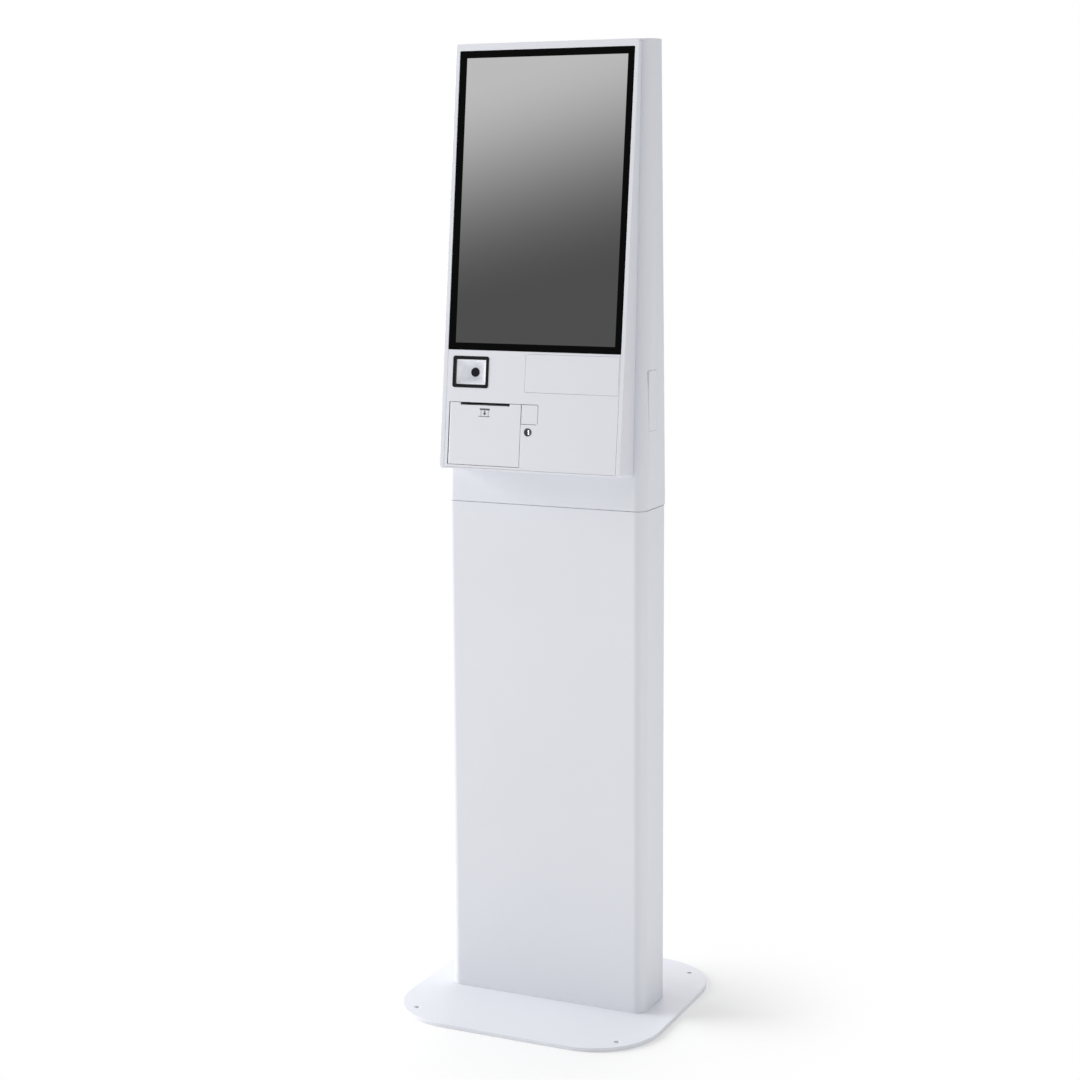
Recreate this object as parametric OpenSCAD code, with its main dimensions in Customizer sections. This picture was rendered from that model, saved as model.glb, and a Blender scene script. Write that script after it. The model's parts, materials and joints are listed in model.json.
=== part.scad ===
// Ticket vending machine on a floor stand: column, leaning display head, scanner and ticket printer.
// Origin: centre of the base plate, on the floor. +Z up, the customer stands on the -Y side.

/* [Base] */
// Width of the base plate
base_w = 490; // [470:2:520]
// Depth of the base plate
base_d = 454; // [430:2:480]
// Corner radius of the base plate
base_r = 123; // [100:1:140]
// Thickness of the base plate
base_t = 7; // [6:0.5:10]
// Spacing of the floor bolts from side to side
floor_bolt_x = 388; // [370:2:396]
// Spacing of the floor bolts from front to back
floor_bolt_y = 352; // [336:2:360]
// Diameter of the floor bolt holes
floor_hole_d = 9; // [7:0.5:11]

/* [Column] */
// Width of the column and of the head
column_w = 383; // [381:1:387]
// Depth of the column
column_d = 110; // [109:1:112]
// Place of the column's front face
column_front_y = -48; // [-49:1:-47]
// Radius of the column's vertical corners
corner_r = 20; // [16:1:24]
// Height of the seam between column and head
seam_z = 910; // [906:1:914]
// Width of that seam
seam_gap = 1; // [0.8:0.1:2]
// Thickness of the sheet steel
sheet = 2; // [1.5:0.1:2.5]

/* [Head shell] */
// Height of the whole machine
top_z = 1700; // [1699:1:1704]
// Place of the shell's front face at its top
head_front_top_y = -4.5; // [-6:0.5:-3]
// Place of the shell's back at its foot
head_back_foot_y = 66; // [65:0.5:68]
// Place of the shell's back at its top
head_back_top_y = 44.5; // [44:0.5:48]
// Wall of the head shell and of the front housing
shell_wall = 2.5; // [2:0.1:3]

/* [Front unit] */
// Width of the front unit
face_w = 340; // [338:1:342]
// Length of the leaning front face
face_len = 730; // [728:1:730]
// Lean of the front face from upright, in degrees
face_tilt = 6.9; // [6.6:0.1:7.2]
// Place of the front face's lower edge, front to back
face_foot_y = -104; // [-106:1:-103]
// Height of the front face's lower edge
face_foot_z = 975; // [974:1:976]
// Radius of the front face's corners
face_r = 6; // [4:0.5:8]
// Gap round doors and buttons
gap = 0.8; // [0.6:0.1:1]
// Gap round the panels that are screwed in
panel_gap = 0.3; // [0.2:0.05:0.4]

/* [Display] */
// Width of the display glass
glass_w = 324; // [320:1:325]
// Height of the display glass
glass_h = 511; // [508:1:511]
// Thickness of the display glass
glass_t = 4; // [3:0.5:4]
// Height of the glass above the front face's lower edge
glass_s = 206.5; // [206.5:0.5:208]

/* [Scanner] */
// Place of the scanner's centre across the front
scanner_x = -117; // [-117.5:0.5:-115]
// Place of the scanner's centre up the front
scanner_s = 168.5; // [168:0.5:170]
// Width of the scanner's black frame
scanner_w = 69; // [68:0.5:72]
// Height of the scanner's black frame
scanner_h = 54.5; // [53.5:0.5:57]
// Width of the scanner's window
window_w = 58; // [55:0.5:59]
// Height of the scanner's window
window_h = 42.5; // [40:0.5:44]
// Radius of the scanner's lens
lens_r = 7.9; // [7:0.1:9]

/* [Ticket printer] */
// Left edge of the printer door
door_x = -155; // [-156:0.5:-154]
// Lower edge of the printer door
door_s = 8.2; // [8:0.1:8.6]
// Width of the printer door
door_w = 136.6; // [136:0.1:137]
// Height of the printer door
door_h = 107.5; // [107:0.1:108]
// Width of the ticket slot
slot_w = 94; // [86:1:96]
// Height of the ticket slot
slot_h = 4; // [3.6:0.1:6]
// Radius of a full paper roll
roll_r = 33; // [28:1:33]
// Width of the paper
paper_w = 80; // [76:1:82]
// Radius of the rubber platen
platen_r = 6.5; // [6:0.1:6.6]
// Teeth of the platen's gear
gear_teeth = 24; // [24:1:24]
// Teeth of the motor's pinion
pinion_teeth = 10; // [10:1:10]

/* [Button and lock] */
// Width of the square push button
button_w = 30.4; // [29:0.1:30.6]
// Height of the square push button
button_h = 33; // [31:0.5:33]
// Travel of the push button
button_travel = 3; // [2:0.5:3]
// Place of the lock across the front
lock_x = -3.7; // [-5:0.1:-3]
// Place of the lock up the front
lock_s = 69; // [66:0.5:70]
// Radius of the lock barrel
lock_r = 6; // [5:0.5:6]

/* [Service door] */
// Width of the door opening in the column's back
service_w = 300; // [280:2:304]
// Lower edge of that opening
service_z = 105; // [100:1:110]
// Height of that opening
service_h = 760; // [740:5:770]

/* [Hidden] */
$fn = 64;

eps = 0.01;
run_fit = 0.05;
white_paint = "#eef0f3";
dark_grey = "#2b2d31";
steel_colour = "#b9bdc2";
zinc_colour = "#c9ccc8";

// Column and head, derived
column_mid_y = column_front_y + column_d / 2;
column_back_y = column_front_y + column_d;
column_top_z = seam_z - seam_gap;
head_h = top_z - seam_z;
front_lean = atan((head_front_top_y - column_front_y) / head_h);
back_lean = atan((head_back_foot_y - head_back_top_y) / head_h);

// Joining bolts between the column's top plate and the head's base plate
joint_bolt_x = 134;
joint_bolt_y = 28;
joint_bolt_r = 4;
top_plate_t = 5;
head_plate_t = 4;
cable_w = 120;
cable_d = 50;
cable_r = 20;

// Foot bracket
foot_wall = 3;
foot_h = 35;
foot_flange = 28;
foot_bolt_r = 4;
foot_bolt_x = 140;
foot_bolt_places = [for (x = [-foot_bolt_x, 0, foot_bolt_x], side = [-1, 1]) [x, side]];

// Hexagon heads and nuts of the large bolts
hex_r = 7.5;
hex_h = 5.3;
nut_h = 6.5;
bolt_end = 10;
free_hole = 0.2;

// Service door in the column's back
leaf_knuckle_r = 3.5;
leaf_pin_r = 2;
leaf_w = service_w - 2 * gap;
leaf_h = service_h - 2 * gap;
leaf_z = service_z + gap;
leaf_pivot_x = -leaf_w / 2 + leaf_knuckle_r;
leaf_pivot_y = column_back_y - leaf_knuckle_r;
leaf_lock_x = leaf_w / 2 - 16;
leaf_lock_z = service_z + service_h / 2;
leaf_lock_r = 8;
leaf_return = [column_back_y - 11, column_back_y - sheet + eps];
keeper_d = 15.5;
keeper_h = 80;
lug_h = 8;
slot_pitch = 12;

// Shelf in the column and the power supply on it
shelf_z = 300;
shelf_w = 330;
shelf_foot = 30;
shelf_lip = 10;
supply_w = 180;
supply_h = 90;

// Mains inlet and its rocker, under the service door
inlet_x = -70;
inlet_z = 72;
inlet_w = 66;
inlet_h = 34;
rocker_x = inlet_x + 20;
rocker_y = column_back_y - 2.5;
rocker_rest = 8;
rocker_pin_r = 1.5;
socket_w = 24;
socket_h = 17;

// Head
back_cover_w = 300;
back_cover_s = 60;
back_cover_h = 680;
cover_r = 6;
back_ledge = 12;
rail_x = 152;
rail_w = 26;
rail_y = 12;
rail_d = 24;
rail_top_z = 1660;
fan_z = 1560;
fan_size = 80;
fan_d = 20;
port_y = -7;
port_z = 1097;
port_w = 36;
port_h = 104;
port_gap = 0.25;
board_x = 172;
screw_r = 1.9;
plate_low_z = 1130;
plate_high_z = 1640;
printer_shelf_z = 958;
box_low_z = 1240;
box_high_z = 1400;

// Front face: the lower panel and its openings
panel_w = glass_w;
panel_s = 3.5;
panel_top = glass_s - panel_gap;
panel_t = 2;
glass_gap = 0.4;
lcd_back = 14;
bracket_d = 19;
cover_x = -13;
cover_w = 173;
cover_s = 137;
cover_h = 65;
lap = 3;
lap_t = 1;
lap_gap = 0.05;
lens_d = 17.5;
arm_x = 34;
door_right = door_x + door_w;
door_top = door_s + door_h;
slot_x = door_x + door_w / 2 - 0.3;
button_x = door_right + 1.4 + button_w / 2;
button_s = door_top - button_h / 2;

// Printer, in the frame of the front face: x, depth behind it, height up it
frame_x = -146;
frame_w = 112;
frame_t = 2;
platen_d = 17;
platen_s = 97;
shaft_r = 2.5;
gear_x = frame_x + frame_w + 1;
gear_w = 4.5;
gear_backlash = 0.45;
mesh = (gear_teeth + pinion_teeth) / 2 + 0.25;
motor_angle = -75;
motor_d = platen_d + mesh * cos(motor_angle);
motor_s = platen_s + mesh * sin(motor_angle);
motor_r = 10;
tear_d = 6.5;
tear_tooth = 1.3;
plate_edge_d = 98;
roll_d = 58;
roll_s = 44;
spindle_r = 6.4;
tear_x = frame_x + frame_t;
tear_w = frame_w - 2 * frame_t;
tear_teeth = 45;
knuckle_r = 3;
pin_r = 0.95;
pivot_x = door_x + knuckle_r;
pivot_d = knuckle_r;

// Latch behind the push button
stem_x = button_x + 7;
stem_s = 98;
stem_r = 3;
stem_d = 23.6;
stem_tip_r = 1.5;
stem_tip_l = 4;
pawl_x = -12;
pawl_d = 26;
pawl_pin_r = 1.5;
pawl_w = 8;
ear_s = [88, 105];
ear_w = 3;
skirt_d = 3;
guide_d = panel_t + skirt_d + button_travel + 6;
guide_t = 2.5;
spring_turns = 6;
spring_pitch = (guide_d - panel_t - 2) / (spring_turns - 1);
spring_r = 4.4;
wire_r = 0.6;

// ---------- shared shapes ----------

module rounded(w, h, r) {
    square([w - 2 * r, h], center = true);
    square([w, h - 2 * r], center = true);
    for (x = [-1, 1], y = [-1, 1]) translate([x * (w / 2 - r), y * (h / 2 - r)]) circle(r);
}

module rounded_from(x, y, w, h, r) {
    translate([x + w / 2, y + h / 2]) rounded(w, h, r);
}

// Places its children in the frame of the leaning front face: x across, y inward, z up the face
module on_face() {
    translate([0, face_foot_y, face_foot_z]) rotate([-face_tilt, 0, 0]) children();
}

// Places its children in the frame of the shell's back: x across, y outward, z up the back
module on_back() {
    translate([0, head_back_foot_y, seam_z]) rotate([back_lean, 0, 0]) children();
}

// Extrudes an outline drawn in x and height into the depth, from y = d to y = d + t
module upright(d, t) {
    translate([0, d + t, 0]) rotate([90, 0, 0]) linear_extrude(t) children();
}

// Extrudes an outline drawn in depth and height along x, from x to x + w
module crosswise(x, w) {
    translate([x, 0, 0]) rotate([90, 0, 90]) linear_extrude(w) children();
}

module box(x, y, z) {
    translate([x[0], y[0], z[0]]) cube([x[1] - x[0], y[1] - y[0], z[1] - z[0]]);
}

module rod_x(x, y, z, r, l) {
    translate([x, y, z]) rotate([0, 90, 0]) cylinder(r = r, h = l);
}

module rod_y(x, y, z, r, l) {
    translate([x, y, z]) rotate([-90, 0, 0]) cylinder(r = r, h = l);
}

module rod_z(x, y, z, r, l) {
    translate([x, y, z]) cylinder(r = r, h = l);
}

// ---------- base and column ----------

module base_plate() color(white_paint) difference() {
    linear_extrude(base_t) rounded(base_w, base_d, base_r);
    for (x = [-1, 1], y = [-1, 1])
        rod_z(x * floor_bolt_x / 2, y * floor_bolt_y / 2, -1, floor_hole_d / 2, base_t + 2);
    translate([0, column_mid_y, -1]) linear_extrude(base_t + 2) rounded(cable_w, cable_d, cable_r);
    foot_bolts_at() rod_z(0, 0, base_t - 5, foot_bolt_r, 6);
}

module foot_bolts_at() {
    for (p = foot_bolt_places)
        translate([p[0], column_mid_y + p[1] * (column_d / 2 - sheet - 17), 0]) children();
}

module column_foot_bracket() color(zinc_colour) {
    w = column_w - 2 * sheet - 0.4;
    d = column_d - 2 * sheet - 0.4;
    r = corner_r - sheet - 0.2;
    difference() {
        translate([0, column_mid_y, base_t]) linear_extrude(foot_h) rounded(w, d, r);
        translate([0, column_mid_y, base_t + foot_wall]) linear_extrude(foot_h)
            rounded(w - 2 * foot_wall, d - 2 * foot_wall, r - foot_wall);
        translate([0, column_mid_y, 0]) linear_extrude(foot_h)
            rounded(w - 2 * foot_flange, d - 2 * foot_flange, 8);
        foot_bolts_at() rod_z(0, 0, 0, foot_bolt_r, foot_h);
    }
}

module column_foot_bolts() color(steel_colour)
    foot_bolts_at() {
        rod_z(0, 0, base_t - 5, foot_bolt_r, 8);
        translate([0, 0, base_t + foot_wall]) cylinder(r = hex_r, h = hex_h, $fn = 6);
    }

module column_tube(inset) {
    rounded(column_w - 2 * inset, column_d - 2 * inset, corner_r - inset);
}

// Lug on the column that holds a hinge pin, above or below the service door
module leaf_lug(z) {
    box([leaf_pivot_x - 4, leaf_pivot_x + 5], [leaf_pivot_y - 5, column_back_y - sheet + eps],
        [z, z + lug_h]);
}

module column_shell() color(white_paint) difference() {
    union() {
        translate([0, column_mid_y, base_t]) linear_extrude(column_top_z - base_t) difference() {
            column_tube(0);
            column_tube(sheet);
        }
        leaf_lug(service_z - lug_h - 1);
        leaf_lug(service_z + service_h + 1);
        // keeper that the lock's cam turns behind
        box([service_w / 2, service_w / 2 + sheet], [column_back_y - keeper_d, column_back_y - sheet + eps],
            [leaf_lock_z - keeper_h / 2, leaf_lock_z + keeper_h / 2]);
    }
    box([-service_w / 2, service_w / 2], [column_back_y - 5, column_back_y + 1],
        [service_z, service_z + service_h]);
    upright(column_back_y - 5, 8) translate([inlet_x, inlet_z]) rounded(inlet_w - 6, inlet_h - 6, 2);
    rod_z(leaf_pivot_x, leaf_pivot_y, service_z - 20, leaf_pin_r, service_h + 40);
}

module column_top_plate() color(zinc_colour) difference() {
    translate([0, column_mid_y, seam_z - top_plate_t]) linear_extrude(top_plate_t)
        column_tube(sheet + 0.3);
    translate([0, column_mid_y, 0]) linear_extrude(seam_z + 1) rounded(cable_w, cable_d, cable_r);
    joint_bolts_at() rod_z(0, 0, seam_z - 20, joint_bolt_r + free_hole, 40);
}

module joint_bolts_at() {
    for (x = [-1, 1], y = [-1, 1])
        translate([x * joint_bolt_x, column_mid_y + y * joint_bolt_y, 0]) children();
}

module head_joint_bolts() color(steel_colour)
    joint_bolts_at() {
        rod_z(0, 0, seam_z - top_plate_t - bolt_end, joint_bolt_r,
            bolt_end + top_plate_t + head_plate_t + 1);
        translate([0, 0, seam_z - top_plate_t - nut_h]) cylinder(r = hex_r, h = nut_h, $fn = 6);
        translate([0, 0, seam_z + head_plate_t]) cylinder(r = hex_r, h = hex_h, $fn = 6);
    }

module column_rear_door() color(white_paint) difference() {
    union() {
        box([leaf_pivot_x, leaf_w / 2], [column_back_y - sheet, column_back_y], [leaf_z, leaf_z + leaf_h]);
        rod_z(leaf_pivot_x, leaf_pivot_y, leaf_z, leaf_knuckle_r, leaf_h);
        // turned-in edges that stiffen the sheet
        for (z = [leaf_z + 2, leaf_z + leaf_h - 3.5])
            box([leaf_pivot_x + 14, leaf_w / 2 - 2], leaf_return, [z, z + 1.5]);
        box([leaf_w / 2 - 3.5, leaf_w / 2 - 2], leaf_return,
            [leaf_z + 2, leaf_z + leaf_h - 2]);
    }
    for (z = [leaf_z - 1, leaf_z + leaf_h - 12])
        rod_z(leaf_pivot_x, leaf_pivot_y, z, leaf_pin_r + run_fit, 13);
    rod_y(leaf_lock_x, column_back_y - 5, leaf_lock_z, leaf_lock_r + run_fit, 8);
    // air slots
    for (row = [0 : 5])
        upright(column_back_y - 5, 8) translate([0, service_z + service_h - 60 - row * slot_pitch])
            rounded(90, 4, 1.9);
}

module rear_door_hinge_pins() color(steel_colour) {
    rod_z(leaf_pivot_x, leaf_pivot_y, service_z - 9, leaf_pin_r, 20);
    rod_z(leaf_pivot_x, leaf_pivot_y, service_z + service_h - 11, leaf_pin_r, 20);
}

module rear_door_lock() color(steel_colour) difference() {
    union() {
        rod_y(leaf_lock_x, column_back_y + 0.2, leaf_lock_z, leaf_lock_r + 2, 2);
        rod_y(leaf_lock_x, column_back_y - 17, leaf_lock_z, leaf_lock_r, 18);
        box([leaf_lock_x - 6, leaf_lock_x + 6], [column_back_y - 19.5, column_back_y - 17],
            [leaf_lock_z - 8, leaf_lock_z + 28]);
    }
    box([leaf_lock_x - 0.8, leaf_lock_x + 0.8], [column_back_y - 2, column_back_y + 4],
        [leaf_lock_z - 4, leaf_lock_z + 4]);
}

// Bent shelf: tray, front lip and a foot at each side that is riveted to the column
module column_shelf() color(zinc_colour) {
    front = column_front_y + sheet + 2;
    back = column_back_y - 16;
    side_x = column_w / 2 - sheet - 0.5;
    box([-side_x, side_x], [front + 18, back - 8], [shelf_z, shelf_z + sheet]);
    box([-shelf_w / 2, shelf_w / 2], [front, back], [shelf_z, shelf_z + sheet]);
    for (side = [-1, 1]) translate([side * (side_x - sheet / 2), 0, 0])
        box([-sheet / 2, sheet / 2], [front + 18, back - 8], [shelf_z - shelf_foot, shelf_z + sheet]);
    box([-shelf_w / 2, shelf_w / 2], [front, front + 1.5], [shelf_z + sheet, shelf_z + sheet + shelf_lip]);
}

module power_supply() color("#a9adb0") {
    low = shelf_z + sheet;
    difference() {
        union() {
            box([-supply_w / 2, supply_w / 2], [-36, 22], [low, low + supply_h]);
            // terminal block
            box([supply_w / 2 - 4, supply_w / 2 + 14], [-20, 10], [low + 8, low + 48]);
        }
        // air slots in its lid
        for (i = [0 : 13]) box([-78 + i * 12, -73 + i * 12], [-28, 14],
            [low + supply_h - 4, low + supply_h + 1]);
        for (i = [0 : 3]) box([supply_w / 2 + 9, supply_w / 2 + 15], [-16 + i * 6.5, -12 + i * 6.5],
            [low + 13, low + 43]);
    }
}

module power_inlet() color(dark_grey) difference() {
    union() {
        upright(column_back_y, 2) translate([inlet_x, inlet_z]) rounded(inlet_w, inlet_h, 3);
        upright(column_back_y - 24, 24) translate([inlet_x, inlet_z])
            rounded(inlet_w - 7, inlet_h - 7, 1.5);
    }
    upright(column_back_y - 16, 20) translate([inlet_x - 13, inlet_z]) rounded(socket_w, socket_h, 3);
    box([rocker_x - 6.6, rocker_x + 6.6], [column_back_y - 14, column_back_y + 3],
        [inlet_z - 10.4, inlet_z + 10.4]);
    rod_x(rocker_x - 8.5, rocker_y, inlet_z, rocker_pin_r + run_fit, 17);
}

module power_rocker() color("#1b1c1e")
    translate([rocker_x, rocker_y, inlet_z]) rotate([rocker_rest, 0, 0]) {
        crosswise(-6.2, 12.4)
            polygon([[-6, -8.3], [4.6, -8.3], [3.2, 0], [4.6, 8.3], [-6, 8.3]]);
        rod_x(-8.2, 0, 0, rocker_pin_r, 16.4);
    }

// ---------- head shell and what it holds ----------

function front_y(z) = column_front_y + (z - seam_z) * tan(front_lean);

// Outline of the head seen from above, long enough to reach past its other side
module head_outline(inset) {
    reach = 300;
    translate([0, inset + reach / 2]) rounded(column_w - 2 * inset, reach, corner_r - inset);
}

// Solid head between two heights: what its leaning front and its leaning back have in common
module head_block(inset, low, high) {
    intersection() {
        translate([0, column_front_y, seam_z]) rotate([-front_lean, 0, 0])
            translate([0, 0, -60]) linear_extrude(head_h + 120) head_outline(inset);
        translate([0, head_back_foot_y, seam_z]) rotate([back_lean, 0, 0])
            translate([0, 0, -60]) linear_extrude(head_h + 120) mirror([0, 1]) head_outline(inset);
        box([-column_w, column_w], [-300, 300], [low, high]);
    }
}

module back_cover_outline(grow) {
    translate([0, back_cover_s + back_cover_h / 2])
        rounded(back_cover_w + 2 * grow, back_cover_h + 2 * grow, max(cover_r + grow, cover_r / 2));
}

module back_screws_at() {
    for (x = [-1, 1], k = [0 : 2])
        translate([x * (back_cover_w / 2 - 6), 0, back_cover_s + 14 + k * (back_cover_h - 28) / 2])
            children();
}

module head_shell() color(white_paint) difference() {
    union() {
        difference() {
            head_block(0, seam_z, top_z);
            head_block(shell_wall, seam_z - 5, top_z - shell_wall);
        }
        // ledge behind the back cover
        on_back() upright(-6, 3.6) difference() {
            back_cover_outline(6);
            back_cover_outline(-back_ledge);
        }
    }
    box([-158, 158], [-90, 8], [face_foot_z - 2, 1686]);
    on_back() upright(-2.4, 5) back_cover_outline(gap);
    on_back() upright(-10, 15) back_cover_outline(-back_ledge);
    on_back() back_screws_at() rod_y(0, -8, 0, screw_r, 10);
    translate([column_w / 2 - 6, 0, 0]) crosswise(0, 10)
        translate([port_y, port_z]) rounded(port_w, port_h, 3);
}

module head_base_plate() color(zinc_colour) difference() {
    depth = head_back_foot_y - column_front_y - 2 * shell_wall - 1.2;
    translate([0, (column_front_y + head_back_foot_y) / 2, seam_z]) linear_extrude(head_plate_t)
        rounded(column_w - 2 * shell_wall - 1, depth, corner_r - shell_wall);
    translate([0, column_mid_y, 0]) linear_extrude(seam_z + 20) rounded(cable_w, cable_d, cable_r);
    joint_bolts_at() rod_z(0, 0, seam_z - 20, joint_bolt_r + free_hole, 40);
}

module head_rear_cover() color(white_paint) on_back() difference() {
    union() {
        upright(-2.2, 2.2) back_cover_outline(0);
        // hooks inside the opening
        for (x = [-90, 90]) box([x - 10, x + 10], [-9, -2.2 + eps], [back_cover_s + 14, back_cover_s + 16]);
    }
    back_screws_at() rod_y(0, -5, 0, screw_r + free_hole, 8);
    // air slots over the fan and at the foot
    for (low = [fan_z - seam_z - 32, back_cover_s + 60], row = [0 : 8], side = [-1, 1])
        upright(-5, 8) translate([side * 34, low + row * 8]) rounded(56, 3.2, 1.5);
}

module rear_cover_screws() color(steel_colour) on_back() back_screws_at() difference() {
    union() {
        rod_y(0, -8, 0, screw_r, 8.5);
        rod_y(0, 0, 0, 2 * screw_r, 1.8);
    }
    for (a = [0, 90]) rotate([0, a, 0]) box([-2.4, 2.4], [0.8, 3], [-0.5, 0.5]);
}

// One upright rail, a channel open towards the middle
module rail(side) {
    low = seam_z + head_plate_t;
    translate([side * (rail_x + rail_w / 2), 0, 0]) difference() {
        box([-rail_w / 2, rail_w / 2], [rail_y, rail_y + rail_d], [low, rail_top_z]);
        box([-rail_w / 2 + 2, rail_w / 2 - 2], [rail_y + 2, rail_y + rail_d + 1], [low - 1, rail_top_z + 1]);
    }
}

module head_chassis() color(zinc_colour) difference() {
    union() {
        rail(-1);
        rail(1);
        box([-rail_x, rail_x], [rail_y, rail_y + 2], [plate_low_z, plate_high_z]);
        // shelf under the printer
        box([-rail_x - 2, rail_x + 2], [-36, rail_y + rail_d], [printer_shelf_z, printer_shelf_z + 2]);
        box([-rail_x, rail_x], [rail_y, rail_y + 2], [printer_shelf_z - 20, printer_shelf_z + 2]);
    }
    rod_y(0, rail_y - 1, fan_z, fan_size / 2 - 2.5, 4);
    for (x = [-110, 110], z = [1180, 1300, 1480])
        upright(rail_y - 1, 4) translate([x, z]) rounded(50, 60, 8);
    for (x = [-60, 60]) translate([x, 0, printer_shelf_z - 8]) linear_extrude(20) rounded(60, 30, 8);
}

module computer_box() color("#3a3d42") difference() {
    union() {
        box([-92, 92], [rail_y + 2, rail_y + 22], [box_low_z, box_high_z]);
        // cooling fins on its back
        for (i = [0 : 12]) box([-78 + i * 13, -75 + i * 13], [rail_y + 22 - eps, rail_y + 28],
            [box_low_z + 10, box_high_z - 10]);
    }
    // sockets in its underside
    for (i = [0 : 3]) box([-80 + i * 30, -62 + i * 30], [rail_y + 7, rail_y + 17],
        [box_low_z - 8, box_low_z + 6]);
}

module fan_frame() color("#222326") difference() {
    box([-fan_size / 2, fan_size / 2], [rail_y + 2, rail_y + 2 + fan_d],
        [fan_z - fan_size / 2, fan_z + fan_size / 2]);
    difference() {
        rod_y(0, rail_y + 1, fan_z, fan_size / 2 - 2, fan_d + 2);
        // hub carrier and its arms
        rod_y(0, rail_y + 2, fan_z, 16, 3);
        for (a = [45 : 90 : 315]) translate([0, 0, fan_z]) rotate([0, a, 0])
            box([10, fan_size / 2], [rail_y + 2, rail_y + 5], [-2.5, 2.5]);
    }
    for (x = [-1, 1], z = [-1, 1])
        rod_y(x * 35.75, rail_y, fan_z + z * 35.75, 2.15, fan_d + 4);
    rod_y(0, rail_y, fan_z, 2 + run_fit, 12);
}

module fan_rotor() color("#17181a") translate([0, rail_y + 6, fan_z]) {
    rod_y(0, 0, 0, 15, 14);
    rod_y(0, -3.5, 0, 2, 4);
    for (i = [0 : 6]) rotate([0, i * 360 / 7, 0]) translate([14, 7, 0]) rotate([38, 0, 0])
        box([0, 21], [-0.8, 0.8], [-8, 8]);
}

module side_port_cover() color(white_paint) {
    translate([column_w / 2 - shell_wall, 0, 0]) crosswise(0, shell_wall)
        translate([port_y, port_z]) rounded(port_w - 2 * port_gap, port_h - 2 * port_gap, 2.6);
    // snap tabs
    for (end = [-1, 1]) translate([column_w / 2 - 8, 0, port_z + end * (port_h / 2 - 8)])
        box([0, 6], [port_y - 8, port_y + 8], [-1, 1]);
}

// Board with two double sockets and a network socket that face the side port
module io_board() color("#1f5a3a") {
    face = board_x + 1.6;
    box([board_x, face], [port_y - 16, port_y + 16], [port_z - 40, port_z + 40]);
    for (z = [-30, -12]) difference() {
        box([face, board_x + 15], [port_y - 7, port_y + 7], [port_z + z, port_z + z + 14]);
        for (k = [2, 8]) box([board_x + 8, board_x + 16], [port_y - 5.5, port_y + 5.5],
            [port_z + z + k, port_z + z + k + 4]);
    }
    difference() {
        box([face, board_x + 15], [port_y - 8, port_y + 8], [port_z + 10, port_z + 26]);
        box([board_x + 6, board_x + 16], [port_y - 6, port_y + 6], [port_z + 13, port_z + 23]);
    }
}

// ---------- front unit ----------

// Space in front of the head shell's front wall
module before_shell() {
    crosswise(-face_w, 2 * face_w)
        polygon([[-300, seam_z], [front_y(seam_z), seam_z], [front_y(top_z), top_z], [-300, top_z]]);
}

module face_outline(inset) {
    translate([0, face_len / 2]) rounded(face_w - 2 * inset, face_len - 2 * inset, face_r - inset);
}

module glass_outline(grow) {
    translate([0, glass_s + glass_h / 2]) rounded(glass_w + 2 * grow, glass_h + 2 * grow, 1.5 + grow);
}

module panel_outline(grow) {
    translate([0, (panel_s + panel_top) / 2])
        rounded(panel_w + 2 * grow - 2 * panel_gap, panel_top - panel_s + 2 * grow, 2 + grow);
}

module front_housing() color(white_paint) intersection() {
    before_shell();
    on_face() difference() {
        upright(0, 90) face_outline(0);
        upright(shell_wall, 100) face_outline(shell_wall);
        upright(-1, 6) glass_outline(glass_gap);
        upright(-1, 6) panel_outline(panel_gap);
    }
}

module display_glass() color("#14161a") on_face() upright(0, glass_t) glass_outline(0);

module lcd_panel() color("#6b6e72") on_face() {
    box([-157, 157], [glass_t + 1, lcd_back], [glass_s + 6, glass_s + glass_h - 7]);
    // driver board under its cover
    box([-120, 120], [lcd_back - eps, lcd_back + 4], [glass_s + 60, glass_s + 250]);
}

module display_bracket() color(zinc_colour) difference() {
    plate = [bracket_d, bracket_d + sheet];
    low = glass_s + 8;
    high = glass_s + 494;
    union() {
        on_face() box([-rail_x, rail_x], plate, [low, high]);
        // cheeks that carry the leaning plate on the upright rails
        for (side = [-1, 1]) intersection() {
            on_face() box([side * rail_x - sheet, side * rail_x + sheet], [bracket_d + 1, 140], [low, high]);
            box([-rail_x, rail_x], [-200, rail_y], [1150, rail_top_z]);
        }
        // ledge under the glass, bent back to the plate
        on_face() box([-161, 161], [glass_t, glass_t + sheet], [panel_top - 6, glass_s + 5.5]);
        on_face() box([-150, 150], [glass_t + 1, bracket_d + 1], [panel_top - 6, panel_top - 4]);
        on_face() box([-150, 150], plate, [panel_top - 6, low + 1]);
    }
    on_face() for (x = [-75, 75], k = [0 : 2])
        upright(bracket_d - 1, 5) translate([x, glass_s + 95 + k * 150]) rounded(110, 110, 12);
}

module lower_front_panel() color(white_paint) on_face() difference() {
    upright(0, panel_t) panel_outline(0);
    upright(-1, 5) {
        translate([scanner_x, scanner_s]) rounded(scanner_w - 5, scanner_h - 5, 1);
        rounded_from(cover_x - panel_gap, cover_s - panel_gap, cover_w + 2 * panel_gap,
            cover_h + 2 * panel_gap, 2);
        rounded_from(door_x - gap, door_s - gap, door_w + 2 * gap, door_h + 2 * gap, 1.5);
        translate([button_x, button_s]) rounded(button_w + 2 * gap, button_h + 2 * gap, 1.5);
        translate([lock_x, lock_s]) circle(lock_r + 1.2);
    }
    // neck between the openings of door and button, so that they share one seam
    upright(-1, 5) rounded_from(door_right - 2, button_s - button_h / 2 - gap,
        button_x - door_right, button_h + 2 * gap, 1.5);
}

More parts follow.
